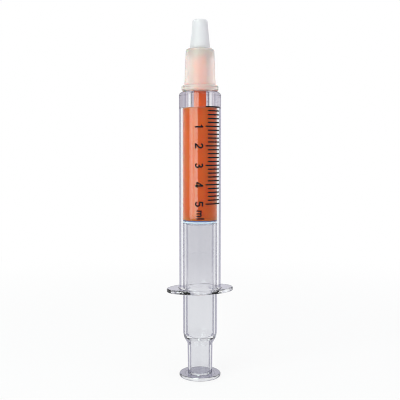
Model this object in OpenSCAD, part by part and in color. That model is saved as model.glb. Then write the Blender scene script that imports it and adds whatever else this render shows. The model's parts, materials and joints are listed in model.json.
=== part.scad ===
// Five-millilitre oral syringe, part filled, standing on its thumb button.
// Millimetres. Z runs up the barrel's axis, from the thumb button to the tip.
// The finger flange is long along X and the scale faces -Y.

/* [Barrel] */
// Outer diameter of the barrel tube
barrel_d = 16; // [12:0.1:24]
// Bore of the barrel, which sets the scale's spacing
bore_d = 13.3; // [10:0.1:20]
// Height of the flange's lower face above the ground
flange_z = 33.2; // [30:0.1:60]
// Length of the barrel, flange to end wall
barrel_len = 76.05; // [60:0.05:120]
// Thickness of the end wall around the nozzle
end_wall = 5.85; // [2:0.05:10]
// Radius of the barrel's upper edge
barrel_edge = 1.3; // [0.2:0.1:3]
// How far the bore flares out at its mouth
mouth_flare = 0.5; // [0.2:0.1:1]

/* [Finger flange] */
// Length of the flange over its two wings
flange_len = 25.9; // [20:0.1:40]
// Width of the flange, front to back
flange_wide = 16.9; // [16.2:0.1:26]
// Radius of the wing tips seen from above
wing_tip_r = 5; // [3:0.1:8]
// Thickness of the flange
flange_thick = 1.5; // [1:0.1:4]

/* [Nozzle] */
// Diameter of the nozzle's plug in the end wall
plug_d = 6.9; // [5:0.1:9]
// Diameter of the channel through the nozzle
channel_d = 3.1; // [1:0.1:4]
// Length of the nozzle above the end wall
nozzle_len = 15.15; // [8:0.05:20]
// Nozzle diameter where it leaves the end wall
nozzle_base_d = 5.4; // [4:0.1:6]
// Nozzle diameter at its end
nozzle_end_d = 4.7; // [3.5:0.1:5.4]

/* [Collar] */
// Height of the collar
collar_h = 16.1; // [12:0.1:24]
// Collar diameter just above its lip
collar_base_d = 11.9; // [9:0.1:14]
// Collar diameter at its top
collar_top_d = 10.8; // [8:0.1:13]
// Diameter of the lip at the collar's foot
lip_d = 14; // [12:0.1:16]
// Thickness of the lip
lip_h = 2.4; // [1:0.1:4]

/* [Tip cap] */
// Height of the tip cap above the collar
tip_h = 10.9; // [6:0.1:16]
// Tip cap diameter at its foot
tip_base_d = 7.6; // [6.8:0.1:9]
// Tip cap diameter at its top
tip_top_d = 5.5; // [4:0.1:7]

/* [Plunger] */
// Height of the plunger's front face above the ground
piston_z = 61; // [45:0.1:100]
// Radial clearance between plunger and bore
plunger_gap = 0.08; // [0.02:0.01:0.1]
// Height at which the wide part of the plunger begins
wide_z = 16.1; // [12:0.1:24]
// Height at which the neck ends and the shoulder begins
neck_z = 12.9; // [8:0.1:20]
// Neck diameter below the shoulder
neck_top_d = 9.75; // [7:0.05:12]
// Neck diameter at the thumb button
neck_foot_d = 9.4; // [7:0.05:12]
// Wall of the plunger's wide part
plunger_wall = 1.1; // [1:0.1:2.4]
// Wall of the plunger's neck
neck_wall = 1; // [0.8:0.1:2]
// Height of the seal ring
seal_h = 0.55; // [0.4:0.05:2]

/* [Thumb button] */
// Diameter of the thumb button
button_d = 16; // [12:0.1:24]
// Thickness of the thumb button
button_thick = 1.3; // [1:0.1:4]
// Diameter of the hollow under the thumb button
hollow_d = 11.5; // [4:0.1:14]
// Depth of that hollow
hollow_deep = 0.4; // [0.1:0.05:0.8]

/* [Print] */
// Millilitres that the long scale marks count to
full_ml = 5; // [1:1:5]
// Angle of the scale round the barrel, from -Y toward +X
print_turn = 13; // [-90:1:90]
// Width of a scale mark
mark_w = 0.48; // [0.2:0.01:0.6]
// Angle at which the long marks begin, from the scale's middle
major_from = -11; // [-20:0.5:-6]
// Angle at which the long marks end
major_to = 40; // [37:0.5:60]
// Angle at which the short marks begin
minor_from = -4.5; // [-10:0.5:0]
// Angle at which the short marks end
minor_to = 36; // [20:0.5:40]
// Angle of the numerals' middle line
numeral_turn = -28.5; // [-40:0.5:-27]
// Height of the numerals
numeral_h = 3.1; // [2:0.1:4]
// Width of a numeral's stroke
stroke = 0.54; // [0.25:0.01:0.6]
// Thickness of the ink
ink = 0.04; // [0.03:0.01:0.1]

/* [Hidden] */
$fn = 96;
eps = 0.01;
barrel_r = barrel_d / 2;
bore_r = bore_d / 2;
barrel_top = flange_z + barrel_len;
zero_z = barrel_top - end_wall;
ml_pitch = 1000 / (PI * bore_r * bore_r);
flange_a = flange_len / 2;
flange_b = flange_wide / 2;
wing_x = flange_a - wing_tip_r;
side_r = (wing_x * wing_x + flange_b * flange_b - wing_tip_r * wing_tip_r)
    / (2 * (flange_b - wing_tip_r));
side_y = side_r - flange_b;
wing_cut = wing_x * side_r / (side_r - wing_tip_r);
flange_edge = flange_thick * 0.3;
collar_z = barrel_top + 0.05;
collar_top = barrel_top + collar_h;
lip_edge = lip_h * 0.45;
socket_gap = 0.04;
groove_in = 3;
groove_out = 3.55;
groove_deep = 3;
tip_z = collar_top + 0.03;
tip_top = collar_top + tip_h;
tip_edge = 0.7;
plunger_r = bore_r - plunger_gap;
tube_bore_r = plunger_r - plunger_wall;
neck_bore_r = neck_top_d / 2 - neck_wall;
head_disc = 0.45;
seal_room = 0.03;
tube_top = piston_z - head_disc - seal_h - 2 * seal_room;
head_core_r = 5.55;
head_spigot = 0.7;
seal_out = bore_r - 0.02;
seal_in = head_core_r + 0.05;
spigot_len = 0.6;
spigot_gap = 0.02;
liquid_gap = 0.03;
button_edge = button_thick * 0.27;
num_top = numeral_h / 2;
print_r = barrel_r + ink;

// A disc with a rounded rim, standing on its lower face.
module round_slab(r, h, e) {
    rotate_extrude() {
        square([r - e, h]);
        translate([0, e])
            square([r, h - 2 * e]);
        translate([r - e, e])
            circle(e, $fn = 32);
        translate([r - e, h - e])
            circle(e, $fn = 32);
    }
}

// A disc with bevelled edges, standing on its lower face.
module bevel_slab(r, h, e) {
    rotate_extrude()
        polygon([[0, 0], [r - e, 0], [r, e], [r, h - e], [r - e, h], [0, h]]);
}

// Finger flange: an oval of two long arcs and two wing tips.
module flange_plate() {
    intersection() {
        translate([0, side_y, flange_z])
            bevel_slab(side_r, flange_thick, flange_edge);
        translate([0, -side_y, flange_z])
            bevel_slab(side_r, flange_thick, flange_edge);
        translate([-wing_cut, -flange_wide, flange_z - 1])
            cube([2 * wing_cut, 2 * flange_wide, flange_thick + 2]);
    }
    for (s = [-1, 1])
        intersection() {
            translate([s * wing_x, 0, flange_z])
                bevel_slab(wing_tip_r, flange_thick, flange_edge);
            translate([s * (wing_cut + 10) - 10, -flange_wide, flange_z - 1])
                cube([20, 2 * flange_wide, flange_thick + 2]);
        }
}

// Barrel tube with its finger flange and thick end wall.
module barrel() {
    color([0.84, 0.85, 0.9, 0.45])
        difference() {
            union() {
                rotate_extrude() {
                    translate([0, flange_z])
                        square([barrel_r, barrel_len - barrel_edge]);
                    translate([0, flange_z])
                        square([barrel_r - barrel_edge, barrel_len]);
                    translate([barrel_r - barrel_edge, barrel_top - barrel_edge])
                        circle(barrel_edge, $fn = 48);
                }
                flange_plate();
            }
            translate([0, 0, flange_z - 1])
                cylinder(r = bore_r, h = zero_z - flange_z + 1);
            translate([0, 0, flange_z - eps])
                cylinder(r1 = bore_r + mouth_flare, r2 = bore_r, h = mouth_flare + 0.1);
            translate([0, 0, zero_z - 1])
                cylinder(r = plug_d / 2, h = end_wall + 2);
        }
}

// Nozzle moulding, plugged through the end wall, with its channel.
module nozzle_insert() {
    color([0.88, 0.88, 0.92, 0.5])
        difference() {
            union() {
                translate([0, 0, zero_z])
                    cylinder(r = plug_d / 2, h = end_wall);
                translate([0, 0, barrel_top - 1])
                    cylinder(r = nozzle_base_d / 2, h = 1.2);
                translate([0, 0, barrel_top + 0.2])
                    cylinder(d1 = nozzle_base_d, d2 = nozzle_end_d, h = nozzle_len - 0.2);
            }
            translate([0, 0, zero_z - 1])
                cylinder(r = channel_d / 2, h = end_wall + nozzle_len + 2);
        }
}

// Medicine standing in the nozzle's channel.
module nozzle_fill() {
    color([0.92, 0.36, 0.1])
        translate([0, 0, zero_z])
            cylinder(r = channel_d / 2, h = end_wall + nozzle_len);
}

// Push-on collar over the nozzle, with a lip at its foot.
module nozzle_collar() {
    color([0.9, 0.66, 0.58, 0.85])
        difference() {
            union() {
                translate([0, 0, collar_z])
                    round_slab(lip_d / 2, lip_h, lip_edge);
                rotate_extrude() {
                    polygon([[0, collar_z + lip_h / 2], [collar_base_d / 2, collar_z + lip_h / 2],
                        [collar_base_d / 2, collar_z + lip_h], [collar_top_d / 2, collar_top - 1],
                        [0, collar_top - 1]]);
                    translate([0, collar_top - 1 - eps])
                        square([collar_top_d / 2 - 1, 1 + eps]);
                    translate([collar_top_d / 2 - 1, collar_top - 1])
                        circle(1, $fn = 48);
                }
            }
            translate([0, 0, barrel_top - 1])
                cylinder(r = nozzle_base_d / 2 + socket_gap, h = 1.2);
            translate([0, 0, barrel_top + 0.19])
                cylinder(d1 = nozzle_base_d + 2 * socket_gap,
                    d2 = nozzle_end_d + 2 * socket_gap, h = nozzle_len - 0.14);
            translate([0, 0, barrel_top])
                cylinder(r = channel_d / 2, h = collar_h + 2);
            translate([0, 0, collar_top - groove_deep])
                rotate_extrude()
                    translate([groove_in, 0])
                        square([groove_out - groove_in, groove_deep + 1]);
        }
}

// Closed tip cap, its skirt pushed into the groove in the collar's top.
module tip_cap() {
    color([0.93, 0.93, 0.94, 0.9])
        difference() {
            union() {
                rotate_extrude() {
                    polygon([[0, tip_z], [tip_base_d / 2, tip_z],
                        [tip_top_d / 2, tip_top - tip_edge], [0, tip_top - tip_edge]]);
                    translate([0, tip_top - tip_edge - eps])
                        square([tip_top_d / 2 - tip_edge, tip_edge + eps]);
                    translate([tip_top_d / 2 - tip_edge, tip_top - tip_edge])
                        circle(tip_edge, $fn = 48);
                }
                rotate_extrude()
                    translate([groove_in + 0.05, tip_z - groove_deep + 0.15])
                        square([groove_out - groove_in - 0.1, groove_deep]);
            }
            translate([0, 0, tip_z - 1])
                cylinder(r = channel_d / 2, h = tip_h - 2);
        }
}

// Medicine in the barrel, between the end wall and the plunger.
module medicine_column() {
    color([0.93, 0.38, 0.1])
        translate([0, 0, piston_z + liquid_gap])
            cylinder(r = bore_r - liquid_gap, h = zero_z - piston_z - 2 * liquid_gap);
}

// Seal ring that slides in the bore, caught behind the plunger's head.
module piston_seal() {
    color([0.8, 0.84, 0.9, 0.7])
        translate([0, 0, tube_top + seal_room])
            difference() {
                round_slab(seal_out, seal_h, seal_h * 0.4);
                translate([0, 0, -1])
                    cylinder(r = seal_in, h = seal_h + 2);
            }
}

// Plunger head: front disc, core through the seal, spigot in the tube.
module piston_head() {
    color([0.82, 0.84, 0.9, 0.6]) {
        translate([0, 0, piston_z - head_disc])
            cylinder(r = plunger_r, h = head_disc);
        translate([0, 0, tube_top])
            cylinder(r = head_core_r, h = piston_z - tube_top - 0.1);
        translate([0, 0, tube_top - head_spigot])
            cylinder(r = tube_bore_r - spigot_gap, h = head_spigot + 0.1);
    }
}

// Hollow plunger: wide tube, sloping shoulder and narrow neck.
module plunger_tube() {
    color([0.83, 0.84, 0.9, 0.5])
        difference() {
            rotate_extrude()
                polygon([[0, button_thick], [neck_foot_d / 2, button_thick],
                    [neck_top_d / 2, neck_z], [plunger_r - 0.7, wide_z - 1.1],
                    [plunger_r - 0.2, wide_z - 0.4], [plunger_r, wide_z + 0.5],
                    [plunger_r, tube_top], [0, tube_top]]);
            translate([0, 0, button_thick - 1])
                cylinder(r = neck_bore_r, h = neck_z - button_thick + 2);
            translate([0, 0, neck_z + 0.6])
                cylinder(r1 = neck_bore_r, r2 = tube_bore_r, h = wide_z - neck_z);
            translate([0, 0, wide_z + 0.6 - eps])
                cylinder(r = tube_bore_r, h = tube_top - wide_z);
        }
}

// Thumb button: rounded disc, hollow below, with a spigot in the neck.
module thumb_button() {
    color([0.8, 0.82, 0.9, 0.6])
        difference() {
            union() {
                bevel_slab(button_d / 2, button_thick, button_edge);
                translate([0, 0, button_thick / 2])
                    cylinder(r = neck_bore_r - spigot_gap, h = button_thick / 2 + spigot_len);
            }
            translate([0, 0, -1])
                cylinder(r = hollow_d / 2, h = 1 + hollow_deep);
        }
}

// A mark from one angle to another round the barrel, centred on a height.
module ring_mark(from, to, z, w) {
    rotate([0, 0, print_turn - 90 + from])
        rotate_extrude(angle = to - from)
            translate([barrel_r, z - w / 2])
                square([ink, w]);
}

// Ink laid on the barrel: a flat shape wrapped on at an angle and height.
module inked(turn, z) {
    intersection() {
        translate([0, 0, z - 4])
            difference() {
                cylinder(r = print_r, h = 8);
                translate([0, 0, -1])
                    cylinder(r = barrel_r, h = 10);
            }
        rotate([0, 0, print_turn - 90 + turn])
            translate([barrel_r - 2, 0, z])
                rotate([0, 90, 0])
                    linear_extrude(height = 3)
                        children();
    }
}

// A stroke between two points, with square ends.
module bar(x1, y1, x2, y2, w) {
    l = sqrt((x2 - x1) * (x2 - x1) + (y2 - y1) * (y2 - y1));
    translate([x1, y1])
        rotate(atan2(y2 - y1, x2 - x1))
            translate([0, -w / 2])
                square([l, w]);
}

// A bowed stroke: a ring of outer radius r, kept from angle a to angle b.
module bow(x, y, r, a, b, w) {
    m = (a + b) / 2;
    h = (b - a) / 2;
    f = 3 * r;
    translate([x, y])
        intersection() {
            difference() {
                circle(r, $fn = 48);
                circle(r - w, $fn = 48);
            }
            polygon([[0, 0], [f * cos(m - h), f * sin(m - h)],
                [f * cos(m - h / 2), f * sin(m - h / 2)], [f * cos(m), f * sin(m)],
                [f * cos(m + h / 2), f * sin(m + h / 2)],
                [f * cos(m + h), f * sin(m + h)]]);
        }
}

module glyph_1() {
    bar(0.22, -num_top, 0.22, num_top, stroke);
    bar(0.3, num_top - 0.2, -0.5, num_top - 0.78, stroke * 0.85);
}

module glyph_2() {
    bow(0, num_top - 0.98, 0.98, -38, 168, stroke);
    bar(0.72, num_top - 1.33, -0.76, -num_top + 0.28, stroke);
    bar(-0.98, -num_top + stroke / 2, 0.98, -num_top + stroke / 2, stroke);
}

module glyph_3() {
    bow(0, num_top - 0.88, 0.88, -90, 155, stroke);
    bow(0, -num_top + 0.98, 0.98, -155, 90, stroke);
    bar(-0.3, num_top - 1.53, 0.05, num_top - 1.53, stroke * 0.85);
}

module glyph_4() {
    bar(0.42, -num_top, 0.42, num_top, stroke);
    bar(-1.02, -0.78, 1.02, -0.78, stroke * 0.92);
    bar(-0.9, -0.72, 0.4, num_top - 0.14, stroke * 0.88);
}

module glyph_5() {
    bar(-0.75, num_top - stroke / 2, 0.88, num_top - stroke / 2, stroke);
    bar(-0.62, num_top, -0.72, 0.05, stroke * 0.92);
    bow(-0.03, -num_top + 1.03, 1.03, -155, 128, stroke);
}

// Height of a volume on the scale.
function ml_z(v) = zero_z - v * ml_pitch;

module major_graduations() {
    color([0.06, 0.11, 0.12])
        for (i = [0:full_ml])
            ring_mark(major_from, major_to, ml_z(i), mark_w);
}

module minor_graduations() {
    color([0.06, 0.11, 0.12])
        for (i = [0:full_ml - 1], j = [1:4])
            ring_mark(minor_from, minor_to, ml_z(i + j / 5), mark_w);
}

module numeral_1() {
    color([0.06, 0.11, 0.12])
        inked(numeral_turn, ml_z(1))
            glyph_1();
}

module numeral_2() {
    color([0.06, 0.11, 0.12])
        inked(numeral_turn, ml_z(2))
            glyph_2();
}

module numeral_3() {
    color([0.06, 0.11, 0.12])
        inked(numeral_turn, ml_z(3))
            glyph_3();
}

module numeral_4() {
    color([0.06, 0.11, 0.12])
        inked(numeral_turn, ml_z(4))
            glyph_4();
}

module numeral_5() {
    color([0.06, 0.11, 0.12])
        inked(numeral_turn, ml_z(5))
            glyph_5();
}

// The letters that name the unit, after the last numeral.
module unit_mark() {
    color([0.06, 0.11, 0.12]) {
        inked(numeral_turn, ml_z(full_ml) - 3.6) {
            bar(-1.02, -0.94, -1.02, 0.96, stroke * 0.88);
            bar(0, -0.94, 0, 0.3, stroke * 0.88);
            bar(1.02, -0.94, 1.02, 0.3, stroke * 0.88);
            bow(-0.51, 0.25, 0.71, 0, 180, stroke * 0.88);
            bow(0.51, 0.25, 0.71, 0, 180, stroke * 0.88);
        }
        inked(numeral_turn, ml_z(full_ml) - 5.5)
            bar(0, -0.94, 0, 1.9, stroke * 0.88);
    }
}

barrel();
nozzle_insert();
nozzle_fill();
nozzle_collar();
tip_cap();
medicine_column();
piston_seal();
piston_head();
plunger_tube();
thumb_button();
major_graduations();
minor_graduations();
numeral_1();
numeral_2();
numeral_3();
numeral_4();
numeral_5();
unit_mark();
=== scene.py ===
"""Looks of the oral syringe: glass-clear barrel and plunger, peach collar whose tint is partly painted
light, frosted cap, orange medicine.
"""
import json
import math

import bpy
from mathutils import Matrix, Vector


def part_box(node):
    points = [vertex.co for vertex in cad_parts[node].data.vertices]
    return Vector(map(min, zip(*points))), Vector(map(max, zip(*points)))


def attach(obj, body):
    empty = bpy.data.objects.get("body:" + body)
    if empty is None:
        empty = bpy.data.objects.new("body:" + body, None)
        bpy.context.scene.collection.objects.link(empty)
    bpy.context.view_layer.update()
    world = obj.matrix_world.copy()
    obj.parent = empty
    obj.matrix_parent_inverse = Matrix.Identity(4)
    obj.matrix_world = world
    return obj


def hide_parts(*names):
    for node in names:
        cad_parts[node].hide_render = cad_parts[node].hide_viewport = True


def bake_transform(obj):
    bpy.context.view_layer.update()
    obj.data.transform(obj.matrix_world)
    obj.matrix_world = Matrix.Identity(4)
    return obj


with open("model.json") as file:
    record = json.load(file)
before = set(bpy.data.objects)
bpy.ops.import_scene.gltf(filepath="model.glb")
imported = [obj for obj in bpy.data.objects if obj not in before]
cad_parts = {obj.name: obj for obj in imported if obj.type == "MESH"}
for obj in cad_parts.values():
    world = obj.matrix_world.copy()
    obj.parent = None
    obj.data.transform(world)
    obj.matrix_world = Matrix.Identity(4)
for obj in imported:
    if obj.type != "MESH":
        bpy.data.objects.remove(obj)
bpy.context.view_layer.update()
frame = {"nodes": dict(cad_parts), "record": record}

MM = 0.001
TAU = 2 * math.pi


def span(node):
    """Lowest and highest corner of a CAD node, in millimetres."""
    lo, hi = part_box(node)
    return lo / MM, hi / MM


# ---------------------------------------------------------------- sizes read from the frame
BARREL_LO, BARREL_HI = span("barrel")
PLUG_LO, PLUG_HI = span("nozzle_insert")
COLLAR_LO, COLLAR_HI = span("nozzle_collar")
CAP_LO, CAP_HI = span("tip_cap")
LIQUID_LO, LIQUID_HI = span("medicine_column")
FILL_LO, FILL_HI = span("nozzle_fill")
SEAL_LO, SEAL_HI = span("piston_seal")
HEAD_HI = span("piston_head")[1]
TUBE_LO, TUBE_HI = span("plunger_tube")
BUTTON_LO = span("thumb_button")[0]

# Sizes that no box gives, in millimetres: the barrel and its flange.
FLANGE_A = BARREL_HI.x      # half the flange's length
FLANGE_B = BARREL_HI.y      # half its width
FLANGE_THICK = 1.5
FLANGE_ROUNDING = 0.4
WING_TIP_R = 5.0
BARREL_R = 8.0
BORE_R = 6.65
MOUTH_FLARE = 0.5
SHOULDER_ROUNDING = 1.3     # the barrel's upper edge
# The nozzle, the collar on it and the cap in the collar.
CHANNEL_R = FILL_HI.x
PLUG_R = PLUG_HI.x
NOZZLE_FOOT_R = 2.7
NOZZLE_END_R = 2.35
COLLAR_LIP_R = 7.0
COLLAR_LIP_HIGH = 2.4
COLLAR_FOOT_R = 5.95
COLLAR_TOP_R = 5.4
GROOVE_OUT_R = 3.55
GROOVE_IN_R = 3.0
GROOVE_DEEP = 3.0
CAP_TALL = 10.87            # the part of the cap above the collar
CAP_FOOT_R = 3.8
CAP_TOP_R = 2.75
SKIRT_OUT_R = 3.5
SKIRT_IN_R = 3.05
# The plunger, its head and its seal.
PLUNGER_R = TUBE_HI.x
TUBE_BORE = PLUNGER_R - 1.1
NECK_BORE = 3.875
NECK_LOW_R, NECK_TOP_R = 4.7, 4.875
SEAL_OUT_R, SEAL_IN_R = 6.63, 5.6
CORE_R = 5.55
HEAD_DISC = 0.45
SPIGOT_DEEP = 0.68
SPIGOT_R = TUBE_BORE - 0.02
BUTTON_R, BUTTON_THICK = 8.0, 1.3
RELIEF_R, RELIEF_DEEP = 5.75, 0.4
STUB_R, STUB_TOP = 3.855, 1.9
LIQUID_R = 6.6
GAP = 0.03                  # the channel's liquid is this much shorter at each end, and wider all round


# ---------------------------------------------------------------- mesh making
def arc_points(before, corner, after, radius, steps):
    """The points of a rounded corner of an outline."""
    p, a, b = Vector(corner), Vector(before), Vector(after)
    u, v = (a - p).normalized(), (b - p).normalized()
    half = math.acos(max(-1, min(1, u.dot(v)))) / 2
    if radius <= 0 or half > math.radians(89):
        return [tuple(p)]
    reach = min(radius / math.tan(half), 0.49 * (a - p).length, 0.49 * (b - p).length)
    radius = reach * math.tan(half)
    centre = p + (u + v).normalized() * (radius / math.sin(half))
    s, e = p + u * reach - centre, p + v * reach - centre
    turn = math.atan2(s.x * e.y - s.y * e.x, s.dot(e))
    out = []
    for i in range(steps + 1):
        t = turn * i / steps
        c, n = math.cos(t), math.sin(t)
        out.append((centre.x + s.x * c - s.y * n, centre.y + s.x * n + s.y * c))
    return out


def outline(corners, closed, steps=8, hold=0.12):
    """An outline of (radius, height, rounding) corners, with points held near each end of a straight."""
    count = len(corners)
    chains = []
    for i, (r, z, f) in enumerate(corners):
        if not closed and i in (0, count - 1):
            chains.append([(r, z)])
            continue
        a, b = corners[i - 1], corners[(i + 1) % count]
        chains.append(arc_points(a[:2], (r, z), b[:2], f, steps))
    points = []
    for i, chain in enumerate(chains):
        points += chain
        if not closed and i == count - 1:
            break
        a, b = Vector(chain[-1]), Vector(chains[(i + 1) % count][0])
        reach = min(0.25, hold / max((b - a).length, 1e-6))
        for t in (reach, 1 - reach):
            points.append(tuple(a.lerp(b, t)))
    return points


def turned(name, chain_at, closed, segments=160, smooth=32):
    """A closed solid turned round Z. chain_at(angle) gives the outline there, always of as many points."""
    verts, faces, rings = [], [], []
    chains = [chain_at(TAU * k / segments) for k in range(segments)]
    count = len(chains[0])
    for j in range(count):
        if chains[0][j][0] < 1e-6:
            rings.append([len(verts)])
            verts.append((0, 0, chains[0][j][1] * MM))
            continue
        rings.append(list(range(len(verts), len(verts) + segments)))
        for k in range(segments):
            a = TAU * k / segments
            r, z = chains[k][j]
            verts.append((r * MM * math.cos(a), r * MM * math.sin(a), z * MM))
    for j in range(count if closed else count - 1):
        low, high = rings[j], rings[(j + 1) % count]
        for k in range(segments):
            n = (k + 1) % segments
            if len(low) == 1:
                faces.append((low[0], high[n], high[k]))
            elif len(high) == 1:
                faces.append((low[k], low[n], high[0]))
            else:
                faces.append((low[k], low[n], high[n], high[k]))
    mesh = bpy.data.meshes.new(name)
    mesh.from_pydata(verts, [], faces)
    mesh.validate()
    mesh.shade_smooth()
    mesh.set_sharp_from_angle(angle=math.radians(smooth))
    mesh.update()
    piece = bpy.data.objects.new(name, mesh)
    bpy.context.scene.collection.objects.link(piece)
    return piece


def lathe(name, corners, closed=True, segments=160):
    """A round solid with one outline all the way round."""
    chain = outline(corners, closed)
    return turned(name, lambda a: chain, closed, segments)


# ---------------------------------------------------------------- pieces
# The flange is an oval of two long side arcs and a tip arc at each end.
WING_X = FLANGE_A - WING_TIP_R
SIDE_R = (WING_X ** 2 + FLANGE_B ** 2 - WING_TIP_R ** 2) / (2 * (FLANGE_B - WING_TIP_R))
SIDE_Y = SIDE_R - FLANGE_B
WING_CUT = WING_X * SIDE_R / (SIDE_R - WING_TIP_R)


def flange_reach(a):
    """Distance from the axis to the flange's rim, at an angle."""
    c, s = abs(math.cos(a)), abs(math.sin(a))
    side = -SIDE_Y * s + math.sqrt(SIDE_R ** 2 - (SIDE_Y * c) ** 2)
    if side * c <= WING_CUT:
        return side
    return WING_X * c + math.sqrt(WING_TIP_R ** 2 - (WING_X * s) ** 2)


def barrel_chain(a):
    """The barrel's outline at an angle. The point at the liquid's zero height parts wall from end wall."""
    low, top = BARREL_LO.z, BARREL_HI.z
    deck = low + FLANGE_THICK
    rim = flange_reach(a)
    edge = FLANGE_ROUNDING
    root = max(0.02, min(0.5, rim - edge - BARREL_R - 0.02))
    zero = PLUG_LO.z
    hole = PLUG_R + 0.02
    return outline([
        (BORE_R + MOUTH_FLARE, low, 0.12), (rim, low, edge), (rim, deck, edge),
        (BARREL_R, deck, root), (BARREL_R, zero, 0), (BARREL_R, top, SHOULDER_ROUNDING), (hole, top, 0.15),
        (hole, zero, 0.05), (BORE_R, zero, 0.35), (BORE_R, low + 0.6, 0.1)], True)


def build():
    """The pieces by the CAD node that each one shows. Corners are (radius, height, rounding)."""
    pieces = {"barrel": turned("barrel_shell", barrel_chain, True, segments=240)}
    top = BARREL_HI.z
    pieces["nozzle_insert"] = lathe("nozzle_plug", [
        (CHANNEL_R, PLUG_LO.z, 0.05), (PLUG_R, PLUG_LO.z, 0.1), (PLUG_R, top, 0.1),
        (NOZZLE_FOOT_R, top, 0.1), (NOZZLE_FOOT_R, top + 0.3, 0), (NOZZLE_END_R, PLUG_HI.z, 0.2),
        (CHANNEL_R, PLUG_HI.z, 0.1)])
    low, high = FILL_LO.z + GAP, FILL_HI.z - GAP
    pieces["nozzle_fill"] = lathe("channel_liquid", [
        (0, low, 0), (CHANNEL_R + GAP, low, 0.1), (CHANNEL_R + GAP, high, 0.2), (0, high, 0)],
        closed=False, segments=96)
    low, high = COLLAR_LO.z, COLLAR_HI.z
    pieces["nozzle_collar"] = lathe("collar_shell", [
        (2.75, low, 0.15), (COLLAR_LIP_R, low, 1.0), (COLLAR_LIP_R, low + COLLAR_LIP_HIGH, 1.1),
        (COLLAR_FOOT_R, low + COLLAR_LIP_HIGH + 0.1, 0.4), (COLLAR_TOP_R, high, 0.9),
        (GROOVE_OUT_R, high, 0.1), (GROOVE_OUT_R, high - GROOVE_DEEP, 0.05),
        (GROOVE_IN_R, high - GROOVE_DEEP, 0.05), (GROOVE_IN_R, high, 0.1), (CHANNEL_R, high, 0.1),
        (CHANNEL_R, high - 0.9, 0.05), (2.4, high - 0.9, 0.1)])
    low, foot, high = CAP_LO.z, CAP_HI.z - CAP_TALL, CAP_HI.z
    pieces["tip_cap"] = lathe("tip_cap_shell", [
        (CHANNEL_R, foot, 0.1), (SKIRT_IN_R, foot, 0.05), (SKIRT_IN_R, low, 0.1),
        (SKIRT_OUT_R, low, 0.1), (SKIRT_OUT_R, foot, 0.05), (CAP_FOOT_R, foot, 0.2),
        (CAP_TOP_R, high, 0.75), (0, high, 0)], closed=False)
    low, high = SEAL_LO.z, SEAL_HI.z
    pieces["piston_seal"] = lathe("seal_ring", [
        (SEAL_IN_R, low, 0.08), (SEAL_OUT_R, low, 0.2), (SEAL_OUT_R, high, 0.2), (SEAL_IN_R, high, 0.08)])
    low, mouth, high = TUBE_HI.z - SPIGOT_DEEP, TUBE_HI.z + 0.01, HEAD_HI.z
    pieces["piston_head"] = lathe("plunger_head", [
        (0, low, 0), (SPIGOT_R, low, 0.1), (SPIGOT_R, mouth, 0.02), (CORE_R, mouth, 0.05),
        (CORE_R, high - HEAD_DISC, 0.05), (PLUNGER_R, high - HEAD_DISC, 0.08), (PLUNGER_R, high, 0.08),
        (0, high, 0)], closed=False)
    low, high = TUBE_LO.z + 0.01, TUBE_HI.z
    pieces["plunger_tube"] = lathe("plunger_shell", [
        (NECK_BORE, low, 0.1), (NECK_LOW_R, low, 0.1), (NECK_TOP_R, 12.9, 1.2), (6.2, 15.3, 1.2),
        (PLUNGER_R, 17.2, 2.0), (PLUNGER_R, high, 0.15), (TUBE_BORE, high, 0.1),
        (TUBE_BORE, 16.6, 0.9), (NECK_BORE, 14.9, 0.7)])
    pieces["thumb_button"] = lathe("thumb_disc", [
        (0, RELIEF_DEEP, 0), (RELIEF_R, RELIEF_DEEP, 0.15), (RELIEF_R + 0.1, 0.0, 0.1),
        (BUTTON_R, 0.0, 0.5), (BUTTON_R, BUTTON_THICK, 0.5), (STUB_R, BUTTON_THICK, 0.1),
        (STUB_R, STUB_TOP, 0.1), (0, STUB_TOP, 0)], closed=False)
    return pieces


# ---------------------------------------------------------------- materials
NOISE_LOW, NOISE_HIGH = 0.3, 0.7            # the part of a noise's range that is used
MIX_A, MIX_B, MIX_RESULT = 6, 7, 2          # the colour sockets of a Mix node
WHITE = (1.0, 1.0, 1.0)


def node(tree, kind, **values):
    """A shader node. in_NAME or in_NUMBER sets an input, and anything else an attribute."""
    n = tree.nodes.new(kind)
    for key, value in values.items():
        if key.startswith("in_"):
            name = key[3:]
            socket = n.inputs[int(name)] if name.isdigit() else n.inputs[name.replace("_", " ")]
            socket.default_value = value
        else:
            setattr(n, key, value)
    return n


def noise(tree, scale, stretch, detail=3.0):
    """Noise over the piece's own place, drawn out along Z by stretch."""
    where = node(tree, "ShaderNodeTexCoord")
    fit = node(tree, "ShaderNodeMapping", in_Scale=(scale, scale, scale / stretch))
    n = node(tree, "ShaderNodeTexNoise", in_Scale=1.0, in_Detail=detail, in_Roughness=0.55)
    tree.links.new(where.outputs["Object"], fit.inputs["Vector"])
    tree.links.new(fit.outputs["Vector"], n.inputs["Vector"])
    return n.outputs["Fac"]


def ramp_of(tree, factor, stops):
    """A colour ramp through (position, colour) stops."""
    ramp = node(tree, "ShaderNodeValToRGB")
    marks = ramp.color_ramp.elements
    for mark, (place, tone) in zip(marks, (stops[0], stops[-1])):
        mark.position, mark.color = place, (*tone, 1)
    for place, tone in stops[1:-1]:
        marks.new(place).color = (*tone, 1)
    tree.links.new(factor, ramp.inputs["Fac"])
    return ramp.outputs["Color"]


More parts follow.
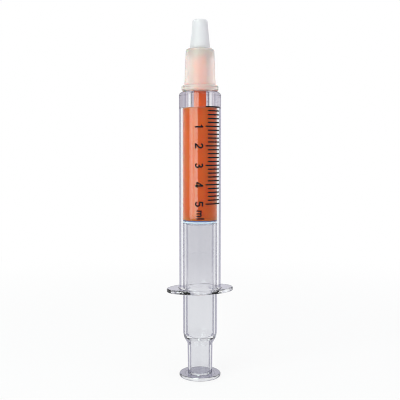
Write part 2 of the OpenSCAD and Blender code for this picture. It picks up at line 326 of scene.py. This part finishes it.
def material(name, dark, light, tint_scale, stretch, rough, grain, bump, shader, edge=None, fade=None):
    """A moulded material: two close tints, roughness and bump from noise, constants on the shader.

    For clear plastic, edge is painted shade: a ramp over the angle that darkens the colour where the
    surface is seen nearly along itself, and fade (low, high, weakest) weakens that painted shade between
    two heights in millimetres."""
    mat = bpy.data.materials.new(name)
    mat.use_nodes = True
    tree = mat.node_tree
    tree.nodes.clear()
    out = node(tree, "ShaderNodeOutputMaterial")
    main = node(tree, "ShaderNodeBsdfPrincipled")
    tree.links.new(main.outputs["BSDF"], out.inputs["Surface"])
    colour = ramp_of(tree, noise(tree, tint_scale, stretch), [(NOISE_LOW, dark), (NOISE_HIGH, light)])
    # painted shade at grazing angles: the colour is multiplied by the edge ramp
    if edge:
        facing = node(tree, "ShaderNodeLayerWeight", in_Blend=0.5)
        edge_shade = ramp_of(tree, facing.outputs["Facing"], edge)
        both = node(tree, "ShaderNodeMix", data_type="RGBA", blend_type="MULTIPLY")
        both.inputs["Factor"].default_value = 1.0
        if fade:
            where = node(tree, "ShaderNodeTexCoord")
            split = node(tree, "ShaderNodeSeparateXYZ")
            weaken = node(tree, "ShaderNodeMapRange", in_From_Min=fade[0] * MM, in_From_Max=fade[1] * MM,
                          in_To_Min=1.0, in_To_Max=fade[2])
            tree.links.new(where.outputs["Object"], split.inputs["Vector"])
            tree.links.new(split.outputs["Z"], weaken.inputs["Value"])
            tree.links.new(weaken.outputs["Result"], both.inputs["Factor"])
        tree.links.new(colour, both.inputs[MIX_A])
        tree.links.new(edge_shade, both.inputs[MIX_B])
        colour = both.outputs[MIX_RESULT]
    tree.links.new(colour, main.inputs["Base Color"])
    spread = node(tree, "ShaderNodeMapRange", in_From_Min=NOISE_LOW, in_From_Max=NOISE_HIGH,
                  in_To_Min=rough[0], in_To_Max=rough[1])
    tree.links.new(noise(tree, grain * 0.4, stretch), spread.inputs["Value"])
    tree.links.new(spread.outputs["Result"], main.inputs["Roughness"])
    height = noise(tree, grain, stretch, detail=2.0)
    relief = node(tree, "ShaderNodeBump", in_Strength=bump[0], in_Distance=bump[1])
    tree.links.new(height, relief.inputs["Height"])
    tree.links.new(relief.outputs["Normal"], main.inputs["Normal"])
    for key, value in shader.items():
        main.inputs[key].default_value = value
    return mat


CLEAR = {"Transmission Weight": 1.0, "IOR": 1.49}
CLEAR_BUMP = (0.04, 0.0001)
# Painted shade: ramps over the facing angle that darken clear plastic where its surface is seen nearly
# along itself.
BARREL_EDGE_SHADE = [(0.52, WHITE), (0.585, (0.25, 0.24, 0.32)), (0.78, (0.19, 0.18, 0.27)),
               (0.95, (0.15, 0.14, 0.24))]
# Painted shade for the end wall: its ramp darkens the clear colour towards lavender grey at all but head-on
# angles.
WALL_EDGE_SHADE = [(0.08, WHITE), (0.18, (0.56, 0.51, 0.56)), (0.50, (0.42, 0.38, 0.45)),
             (0.95, (0.15, 0.14, 0.22))]
PLUNGER_EDGE_SHADE = [(0.50, WHITE), (0.56, (0.19, 0.18, 0.26)), (0.78, (0.14, 0.13, 0.21)),
                (0.95, (0.10, 0.10, 0.18))]
PLUNGER_FADE = (33, 38, 0.15)               # the painted edge shade is weak inside the barrel, where the wall hides the edges


def cloudy(radius, **shader):
    """The shader values of a material that light goes into and comes back out of."""
    return {"Subsurface Weight": 1.0, "Subsurface Scale": 1.0, "Subsurface Radius": radius, **shader}


MATERIALS = {
    "clear_barrel": material(
        "clear_barrel", (0.98, 0.975, 0.985), (1.0, 0.995, 1.0), 260, 9, (0.0, 0.03), 900, CLEAR_BUMP,
        CLEAR, edge=BARREL_EDGE_SHADE),
    "clear_nozzle": material(
        "clear_nozzle", (0.97, 0.96, 0.98), (0.99, 0.98, 0.99), 300, 5, (0.0, 0.03), 900, CLEAR_BUMP,
        CLEAR, edge=BARREL_EDGE_SHADE),
    "clear_plunger": material(
        "clear_plunger", (0.835, 0.84, 0.865), (0.87, 0.875, 0.895), 240, 12, (0.0, 0.03), 800,
        CLEAR_BUMP, CLEAR, edge=PLUNGER_EDGE_SHADE, fade=PLUNGER_FADE),
    # Painted light: the seal ring is coloured pale blue and glows pale blue, in place of the light piped
    # through it, for the bright line under the liquid.
    "clear_seal": material(
        "clear_seal", (0.78, 0.92, 1.0), (0.86, 0.96, 1.0), 500, 1, (0.10, 0.20), 1500, (0.05, 0.0001),
        cloudy((0.001, 0.001, 0.001), **{
            "Transmission Weight": 0.1, "IOR": 1.3, "Emission Color": (0.55, 0.80, 1.0, 1.0),
            "Emission Strength": 0.35})),
    # Partly painted light: the collar's peach tint stands in for the orange of the liquid inside, scattered
    # through it; the orange core seen through it is real transmission.
    "peach_collar": material(
        "peach_collar", (0.98, 0.79, 0.74), (1.0, 0.85, 0.80), 220, 1.5, (0.05, 0.10), 3000,
        (0.05, 0.0001), cloudy((0.003, 0.0018, 0.0014), **{"Transmission Weight": 0.62, "IOR": 1.46})),
    "frosted_tip": material(
        "frosted_tip", (0.735, 0.73, 0.755), (0.775, 0.77, 0.79), 260, 2, (0.30, 0.40), 4000,
        (0.12, 0.0001), cloudy((0.002, 0.002, 0.002), **{"Transmission Weight": 0.3, "IOR": 1.46})),
    "medicine": material(
        "medicine", (0.98, 0.16, 0.013), (1.0, 0.185, 0.020), 120, 3, (0.06, 0.12), 500,
        (0.02, 0.0001), cloudy((0.005, 0.0012, 0.0005), IOR=1.2)),
    "print_ink": material(
        "print_ink", (0.001, 0.004, 0.004), (0.004, 0.009, 0.009), 2500, 1, (0.5, 0.7), 6000,
        (0.2, 0.00005), {"IOR": 1.3}),
}
# The liquid in the channel glows a little, in place of the light that comes up through it.
CHANNEL_PAINT = material(
    "medicine_channel", (0.98, 0.13, 0.010), (1.0, 0.16, 0.015), 300, 2, (0.05, 0.10), 900,
    (0.02, 0.0001), {"IOR": 1.1, "Emission Color": (1.0, 0.13, 0.01, 1.0), "Emission Strength": 0.3})
# Painted shade: the plunger head's front rim is coloured dark blue for the thin dark line where the liquid
# meets the head.
RIM_SHADE_PAINT = material(
    "clear_plunger_rim_painted_shade", (0.10, 0.16, 0.48), (0.13, 0.20, 0.55), 400, 1, (0.02, 0.06), 900,
    (0.02, 0.0001), {"Transmission Weight": 0.3, "IOR": 1.3})
# Painted shade: the end wall above the liquid darkens towards lavender grey at all but head-on angles.
END_WALL_SHADE_PAINT = material(
    "clear_end_wall_painted_shade", (0.96, 0.95, 0.97), (1.0, 0.99, 1.0), 700, 2, (0.0, 0.04), 900,
    (0.05, 0.0001), CLEAR, edge=WALL_EDGE_SHADE)
SLOT_OF = {row["node"]: row["material_slot"] for row in frame["record"]["subparts"]}
BODY_OF = {n: b for b, ns in frame["record"]["behaviour"]["bodies"].items() for n in ns}

pieces = build()
liquid = lathe("medicine_body", [
    (0, LIQUID_LO.z, 0), (LIQUID_R, LIQUID_LO.z, 0.1), (LIQUID_R, LIQUID_HI.z, 0.4),
    (0, LIQUID_HI.z, 0)], closed=False)

for cad, piece in pieces.items():
    piece.data.materials.append(CHANNEL_PAINT if cad == "nozzle_fill" else MATERIALS[SLOT_OF[cad]])
    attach(piece, BODY_OF[cad])
    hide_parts(cad)


def paint_part(piece, paint, inner_r, low):
    """Gives a second material to the faces that lie beyond a radius and above a height."""
    piece.data.materials.append(paint)
    for face in piece.data.polygons:
        if face.center.xy.length > inner_r * MM and face.center.z > low * MM:
            face.material_index = 1


# painted shade on the head's front rim
paint_part(pieces["piston_head"], RIM_SHADE_PAINT, PLUNGER_R - 0.1, HEAD_HI.z - 0.3)
# painted shade on the barrel's end wall, above the liquid's zero height
paint_part(pieces["barrel"], END_WALL_SHADE_PAINT, 0, PLUG_LO.z + 0.02)
liquid.data.materials.append(MATERIALS["medicine"])
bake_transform(liquid)
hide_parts("medicine_column")
for name, ob in frame["nodes"].items():
    if name not in pieces and name != "medicine_column":
        ob.data.materials.clear()
        ob.data.materials.append(MATERIALS[SLOT_OF[name]])

# ---------------------------------------------------------------- camera
VIEW_AZ, VIEW_EL = math.radians(-13.0), math.radians(4.2)
VIEW_DISTANCE = 0.2605
AIM = Vector((0, 0, 68.4 * MM))
LIGHT_AIM = Vector((0, 0, 0.07))


def away(az, el=0.0):
    """The direction from the object towards azimuth az and elevation el, in radians."""
    return Vector((math.sin(az) * math.cos(el), -math.cos(az) * math.cos(el), math.sin(el)))


camera = bpy.data.objects.new("camera", bpy.data.cameras.new("camera"))
camera.data.sensor_width = 36.0
camera.data.lens = 61.29
camera.data.clip_start = 0.01
camera.location = AIM + away(VIEW_AZ, VIEW_EL) * VIEW_DISTANCE
camera.rotation_euler = (-away(VIEW_AZ, VIEW_EL)).to_track_quat("-Z", "Y").to_euler()
bpy.context.scene.collection.objects.link(camera)
bpy.context.scene.camera = camera


# ---------------------------------------------------------------- light
def softbox(name, az, el, distance, width, height, radiance, tint):
    """A rectangular area light of a given radiance, facing the object. The azimuth is from the camera's."""
    light = bpy.data.lights.new(name, "AREA")
    light.shape = "RECTANGLE"
    light.size, light.size_y = width, height
    light.energy = radiance * math.pi * width * height
    light.color = tint
    lamp = bpy.data.objects.new(name, light)
    lamp.location = LIGHT_AIM + away(VIEW_AZ + math.radians(az), math.radians(el)) * distance
    lamp.rotation_euler = (LIGHT_AIM - lamp.location).to_track_quat("-Z", "Y").to_euler()
    lamp.visible_camera = False
    bpy.context.scene.collection.objects.link(lamp)


KEY_TINT = (0.86, 1.0, 0.88)
softbox("key_softbox_left", -50, 8, 0.6, 0.21, 1.3, 2.7, KEY_TINT)
softbox("key_softbox_right", -23, 8, 0.6, 0.21, 1.3, 2.7, KEY_TINT)
softbox("key_softbox_gap", -36.5, 8, 0.62, 0.07, 1.3, 1.5, KEY_TINT)
softbox("top_softbox", 40, 42, 0.6, 0.6, 0.45, 0.8, (1.0, 0.99, 0.99))

# Tones of the room by angle from straight behind the object: what clear plastic shows of it, what gloss
# reflects of it, and the one tone that lights everything else.
FLAG = (0.62, 0.61, 0.68)
BEHIND = [(0, WHITE), (19, WHITE), (23, FLAG), (31, FLAG), (37, (0.93, 0.97, 1.0)), (60, WHITE)]
SEEN_THROUGH = BEHIND + [(85, (0.86, 0.88, 0.92)), (125, (0.68, 0.70, 0.77)), (180, (0.64, 0.66, 0.74))]
SEEN_IN_GLOSS = BEHIND + [(85, (0.50, 0.50, 0.51)), (125, (0.22, 0.23, 0.28)), (180, (0.17, 0.18, 0.23))]
AMBIENT = (0.76, 0.76, 0.79)


def room_tone(tree, direction):
    """The room in a direction: white for the camera, and its own tones for the other kinds of ray."""
    behind = node(tree, "ShaderNodeVectorMath", operation="DOT_PRODUCT", in_1=tuple(-away(VIEW_AZ)))
    aside = node(tree, "ShaderNodeVectorMath", operation="DOT_PRODUCT",
                 in_1=tuple(away(VIEW_AZ + math.radians(90))))
    flat = node(tree, "ShaderNodeMath", operation="ABSOLUTE")
    turn = node(tree, "ShaderNodeMath", operation="ARCTAN2")
    part = node(tree, "ShaderNodeMath", operation="DIVIDE", in_1=math.pi)
    tree.links.new(direction, behind.inputs[0])
    tree.links.new(direction, aside.inputs[0])
    tree.links.new(aside.outputs["Value"], flat.inputs[0])
    tree.links.new(flat.outputs[0], turn.inputs[0])
    tree.links.new(behind.outputs["Value"], turn.inputs[1])
    tree.links.new(turn.outputs[0], part.inputs[0])
    path = node(tree, "ShaderNodeLightPath")
    below = None
    for ray, tones in (("Transmission Depth", SEEN_THROUGH), ("Glossy Depth", SEEN_IN_GLOSS),
                       ("Diffuse Depth", AMBIENT), ("Is Camera Ray", WHITE)):
        pick = node(tree, "ShaderNodeMix", data_type="RGBA")
        pick.inputs[MIX_A].default_value = (*AMBIENT, 1)
        if below:
            tree.links.new(below, pick.inputs[MIX_A])
        if isinstance(tones, list):
            stops = [(degrees / 180, tone) for degrees, tone in tones]
            tree.links.new(ramp_of(tree, part.outputs[0], stops), pick.inputs[MIX_B])
        else:
            pick.inputs[MIX_B].default_value = (*tones, 1)
        tree.links.new(path.outputs[ray], pick.inputs["Factor"])
        below = pick.outputs[MIX_RESULT]
    return below


# floor: a pale round sheet that fades into the pale surroundings
FLOOR_R = 3.0
FLOOR_NEAR, FLOOR_FAR = 0.09, 0.32          # where the fade into the surroundings starts and ends
FLOOR_GLOW = 0.84                           # how far the near floor is kept pale under the object
bpy.ops.mesh.primitive_circle_add(vertices=96, radius=FLOOR_R, fill_type="NGON")
floor = bpy.context.object
floor.name = "floor"
floor.location.z = BUTTON_LO.z * MM - 0.0001
paint = bpy.data.materials.new("floor_paint")
paint.use_nodes = True
ft = paint.node_tree
ft.nodes.clear()
f_out = node(ft, "ShaderNodeOutputMaterial")
f_dif = node(ft, "ShaderNodeBsdfDiffuse", in_Color=(0.8, 0.8, 0.8, 1))
f_glow = node(ft, "ShaderNodeEmission", in_Color=(1, 1, 1, 1), in_Strength=1.0)
f_near = node(ft, "ShaderNodeMixShader", in_0=FLOOR_GLOW)
f_far = node(ft, "ShaderNodeEmission", in_Strength=1.0)
f_mix = node(ft, "ShaderNodeMixShader")
f_pos = node(ft, "ShaderNodeTexCoord")
f_len = node(ft, "ShaderNodeVectorMath", operation="LENGTH")
f_dir = node(ft, "ShaderNodeVectorMath", operation="NORMALIZE")
f_map = node(ft, "ShaderNodeMapRange", interpolation_type="SMOOTHSTEP", in_From_Min=FLOOR_NEAR,
             in_From_Max=FLOOR_FAR)
ft.links.new(f_pos.outputs["Object"], f_len.inputs[0])
ft.links.new(f_pos.outputs["Object"], f_dir.inputs[0])
ft.links.new(f_len.outputs["Value"], f_map.inputs["Value"])
ft.links.new(f_map.outputs["Result"], f_mix.inputs["Fac"])
ft.links.new(f_dif.outputs["BSDF"], f_near.inputs[1])
ft.links.new(f_glow.outputs["Emission"], f_near.inputs[2])
ft.links.new(f_near.outputs["Shader"], f_mix.inputs[1])
ft.links.new(f_far.outputs["Emission"], f_mix.inputs[2])
ft.links.new(f_mix.outputs["Shader"], f_out.inputs["Surface"])
ft.links.new(room_tone(ft, f_dir.outputs["Vector"]), f_far.inputs["Color"])
floor.data.materials.append(paint)
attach(floor, "seal")  # the syringe stands on its plunger, so the floor keeps to the thumb button

world = bpy.data.worlds.new("studio")
bpy.context.scene.world = world
world.use_nodes = True
wt = world.node_tree
wt.nodes.clear()
w_out = node(wt, "ShaderNodeOutputWorld")
w_room = node(wt, "ShaderNodeBackground", in_Strength=1.0)
w_dir = node(wt, "ShaderNodeTexCoord")
wt.links.new(room_tone(wt, w_dir.outputs["Generated"]), w_room.inputs["Color"])
wt.links.new(w_room.outputs["Background"], w_out.inputs["Surface"])

scene = bpy.context.scene
scene.view_settings.view_transform = "Standard"
scene.cycles.filter_width = 1.0
scene.cycles.max_bounces = 24
scene.cycles.transmission_bounces = 20
scene.cycles.glossy_bounces = 8
scene.cycles.diffuse_bounces = 4
